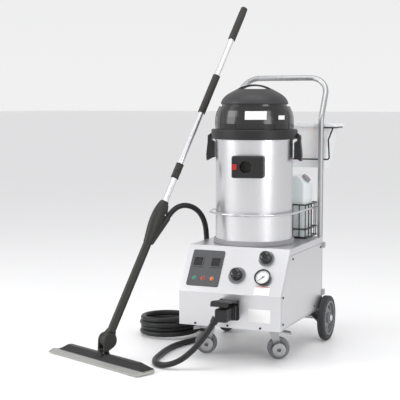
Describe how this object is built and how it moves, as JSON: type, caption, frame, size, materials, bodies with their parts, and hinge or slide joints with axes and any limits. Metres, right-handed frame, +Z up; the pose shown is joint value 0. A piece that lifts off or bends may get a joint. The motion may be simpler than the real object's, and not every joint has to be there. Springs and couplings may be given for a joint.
{
  "type": "steam cleaner with wet and dry vacuum",
  "caption": "Wheeled commercial steam cleaner: steel boiler housing with sloping controls, vacuum drum, push handle, rear bucket, coiled hose and a floor wand.",
  "frame": {"origin": "middle of the footprint of the whole object without its hose, on the floor", "axes": "+X to the machine's right seen from the front, +Y to its back, +Z up"},
  "size_m": [1.0588, 1.1312, 1.5086],
  "materials": {
    "housing_steel": "brushed, satin",
    "drum_steel": "brushed round the drum, brighter than the housing",
    "bright_steel": "polished",
    "handle_steel": "satin tube",
    "zinc_steel": "zinc-plated pressed sheet",
    "black_steel": "black paint",
    "black_wire": "black dipped wire",
    "boiler_steel": "dull welded steel",
    "pump_alloy": "cast",
    "board_green": "circuit board",
    "panel_grey": "dark grey control plate",
    "lamp_lens": "clear coloured lens",
    "black_gloss": "moulded, glossy",
    "needle_black": "matt black",
    "black_plastic": "moulded, satin",
    "dome_grey": "moulded, fine grain",
    "red_plastic": "moulded",
    "base_rubber": "black",
    "hose_rubber": "smooth black, slight sheen",
    "tyre_rubber": "dark grey, matt",
    "hub_grey": "moulded grey",
    "white_plastic": "milky, translucent",
    "cap_grey": "moulded grey",
    "filter_cloth": "pleated filter cloth",
    "wand_plastic": "moulded, satin, very dark",
    "pole_aluminium": "satin anodised",
    "grip_foam": "closed-cell foam",
    "head_aluminium": "grooved profile",
    "head_grey": "moulded, satin"
  },
  "bodies": {
    "root": {"base_shell": "housing_steel", "side_covers": "housing_steel", "drum": "drum_steel", "drum_hoop": "bright_steel", "panel_screws": "bright_steel", "rear_axle": "bright_steel", "push_handle": "handle_steel", "chassis_tray": "zinc_steel", "axle_brackets": "black_steel", "wire_basket": "black_wire", "bucket_holder": "black_wire", "boiler": "boiler_steel", "water_pump": "pump_alloy", "control_board": "board_green", "control_plate": "panel_grey", "indicator_lamps": "lamp_lens", "gauge_case": "black_gloss", "steam_socket": "black_plastic", "hose_plug": "black_plastic", "inlet_block": "black_plastic", "drum_base_ring": "base_rubber", "hose_lead": "hose_rubber", "hose_riser": "hose_rubber", "hose_coil": "hose_rubber", "lower_tube": "wand_plastic", "wand_handle": "wand_plastic", "wand_knuckle": "wand_plastic"},
    "left_caster": {"left_caster_fork": "zinc_steel"},
    "left_caster_wheel": {"left_caster_wheel": "hub_grey"},
    "left_brake": {"left_brake_pedal": "zinc_steel"},
    "right_caster": {"right_caster_fork": "zinc_steel"},
    "right_caster_wheel": {"right_caster_wheel": "hub_grey"},
    "right_brake": {"right_brake_pedal": "zinc_steel"},
    "left_rear_wheel": {"left_rear_tyre": "tyre_rubber", "left_rear_hub": "hub_grey"},
    "right_rear_wheel": {"right_rear_tyre": "tyre_rubber", "right_rear_hub": "hub_grey"},
    "left_rocker": {"left_rocker": "black_gloss"},
    "right_rocker": {"right_rocker": "black_gloss"},
    "steam_knob": {"steam_knob": "black_gloss"},
    "water_knob": {"water_knob": "black_gloss"},
    "gauge_needle": {"gauge_needle": "needle_black"},
    "socket_lid": {"socket_lid": "black_plastic"},
    "vacuum_head": {"head_band": "black_plastic", "motor_housing": "black_plastic", "dome": "dome_grey", "vacuum_motor": "pump_alloy", "filter_cartridge": "filter_cloth"},
    "right_latch": {"right_latch": "black_plastic"},
    "left_latch": {"left_latch": "black_plastic"},
    "inlet_button": {"inlet_button": "red_plastic"},
    "bucket": {"bucket": "white_plastic"},
    "water_container": {"water_container": "white_plastic"},
    "container_cap": {"container_cap": "cap_grey"},
    "trigger": {"trigger": "wand_plastic"},
    "pole": {"pole": "pole_aluminium", "foam_grips": "grip_foam"},
    "head_yoke": {"head_yoke": "wand_plastic"},
    "floor_head": {"head_plate": "head_aluminium", "head_body": "head_grey"}
  },
  "joints": [
    {"name": "left_caster_swivel", "type": "hinge", "parent": "root", "child": "left_caster", "pos_m": [0.12242, -0.06139, 0.14], "axis": [0, 0, 1], "continuous": true},
    {"name": "left_caster_roll", "type": "hinge", "parent": "left_caster", "child": "left_caster_wheel", "pos_m": [0.0976, -0.07203, 0.047], "axis": [-0.3939, 0.9191, 0], "continuous": true},
    {"name": "left_brake_press", "type": "hinge", "parent": "left_caster", "child": "left_brake", "pos_m": [0.09852, -0.07163, 0.116], "axis": [0.3939, -0.9191, 0], "range_deg": [0, 12]},
    {"name": "right_caster_swivel", "type": "hinge", "parent": "root", "child": "right_caster", "pos_m": [0.39242, -0.06139, 0.14], "axis": [0, 0, 1], "continuous": true},
    {"name": "right_caster_roll", "type": "hinge", "parent": "right_caster", "child": "right_caster_wheel", "pos_m": [0.41724, -0.05075, 0.047], "axis": [0.3939, -0.9191, 0], "continuous": true},
    {"name": "right_brake_press", "type": "hinge", "parent": "right_caster", "child": "right_brake", "pos_m": [0.41632, -0.05115, 0.116], "axis": [-0.3939, 0.9191, 0], "range_deg": [0, 12]},
    {"name": "left_rear_roll", "type": "hinge", "parent": "root", "child": "left_rear_wheel", "pos_m": [0.01642, 0.38561, 0.1], "axis": [1, 0, 0], "continuous": true},
    {"name": "right_rear_roll", "type": "hinge", "parent": "root", "child": "right_rear_wheel", "pos_m": [0.49842, 0.38561, 0.1], "axis": [1, 0, 0], "continuous": true},
    {"name": "left_switch", "type": "hinge", "parent": "root", "child": "left_rocker", "pos_m": [0.09142, -0.13978, 0.40571], "axis": [-1, 0, 0], "range_deg": [0, 14]},
    {"name": "right_switch", "type": "hinge", "parent": "root", "child": "right_rocker", "pos_m": [0.17042, -0.13978, 0.40571], "axis": [-1, 0, 0], "range_deg": [0, 14]},
    {"name": "steam_valve", "type": "hinge", "parent": "root", "child": "steam_knob", "pos_m": [0.27542, -0.18444, 0.37299], "axis": [0, -0.8321, 0.5547], "range_deg": [0, 270]},
    {"name": "water_valve", "type": "hinge", "parent": "root", "child": "water_knob", "pos_m": [0.38742, -0.13784, 0.44288], "axis": [0, -0.8321, 0.5547], "range_deg": [0, 270]},
    {"name": "gauge_pointer", "type": "hinge", "parent": "root", "child": "gauge_needle", "pos_m": [0.39042, -0.17717, 0.36333], "axis": [0, 0.8321, -0.5547], "range_deg": [0, 270], "stiffness_Nm_per_rad": 0.0002},
    {"name": "socket_flap", "type": "hinge", "parent": "root", "child": "socket_lid", "pos_m": [0.26242, -0.22139, 0.264], "axis": [-1, 0, 0], "range_deg": [0, 75]},
    {"name": "head_lift", "type": "slide", "parent": "root", "child": "vacuum_head", "axis": [0, 0, 1], "range_m": [0, 0.25]},
    {"name": "right_latch_swing", "type": "hinge", "parent": "vacuum_head", "child": "right_latch", "pos_m": [0.4462, 0.12174, 0.93], "axis": [0.2079, -0.9781, 0], "range_deg": [0, 60]},
    {"name": "left_latch_swing", "type": "hinge", "parent": "vacuum_head", "child": "left_latch", "pos_m": [0.06864, 0.04148, 0.93], "axis": [-0.2079, 0.9781, 0], "range_deg": [0, 60]},
    {"name": "inlet_release", "type": "slide", "parent": "root", "child": "inlet_button", "axis": [-0.2079, 0.9781, 0], "range_m": [0, 0.004], "stiffness_N_per_m": 600},
    {"name": "bucket_slide", "type": "slide", "parent": "root", "child": "bucket", "axis": [0, 1, 0], "range_m": [0, 0.2]},
    {"name": "container_lift", "type": "slide", "parent": "root", "child": "water_container", "axis": [0, 0, 1], "range_m": [0, 0.2]},
    {"name": "cap_turn", "type": "hinge", "parent": "water_container", "child": "container_cap", "pos_m": [0.40942, 0.32961, 0.731], "axis": [0.7071, 0, 0.7071], "range_deg": [0, 360]},
    {"name": "trigger_press", "type": "hinge", "parent": "root", "child": "trigger", "pos_m": [-0.09226, -0.05766, 0.62419], "axis": [-0.9191, 0.3939, 0], "range_deg": [0, 8], "stiffness_Nm_per_rad": 0.8},
    {"name": "pole_slide", "type": "slide", "parent": "root", "child": "pole", "axis": [0.197, 0.4596, 0.866], "range_m": [-0.25, 0]},
    {"name": "head_tilt", "type": "hinge", "parent": "root", "child": "head_yoke", "pos_m": [-0.22512, -0.36767, 0.088], "axis": [0.9191, -0.3939, 0], "range_deg": [-30, 20]},
    {"name": "head_rock", "type": "hinge", "parent": "head_yoke", "child": "floor_head", "pos_m": [-0.23419, -0.38881, 0.048], "axis": [0.3939, 0.9191, 0], "range_deg": [-12, 12]}
  ]
}
